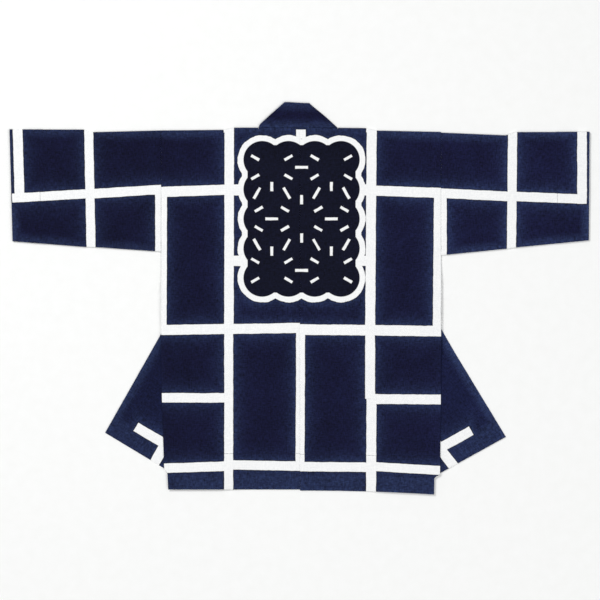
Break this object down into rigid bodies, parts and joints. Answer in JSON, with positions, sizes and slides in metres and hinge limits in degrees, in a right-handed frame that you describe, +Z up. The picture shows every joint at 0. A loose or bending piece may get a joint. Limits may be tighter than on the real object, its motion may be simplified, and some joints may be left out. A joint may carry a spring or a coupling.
{
  "type": "happi coat",
  "caption": "Straight-cut festival coat with tapered sleeves and a long band collar, laid flat with its back up and its fronts swung out below the side vents.",
  "frame": {"origin": "middle of the coat's outline, on the surface that it lies on", "axes": "+X across the span of the sleeves, +Y from the hem to the collar, +Z up out of the coat's back"},
  "size_m": [1.2896, 0.8715, 0.01],
  "materials": {
    "indigo_cotton": "matt plain-weave cotton, resist-dyed indigo with white lines"
  },
  "bodies": {
    "root": {"body_left": "indigo_cotton", "body_right": "indigo_cotton", "sleeve_left": "indigo_cotton", "sleeve_right": "indigo_cotton", "collar": "indigo_cotton"}
  },
  "joints": []
}
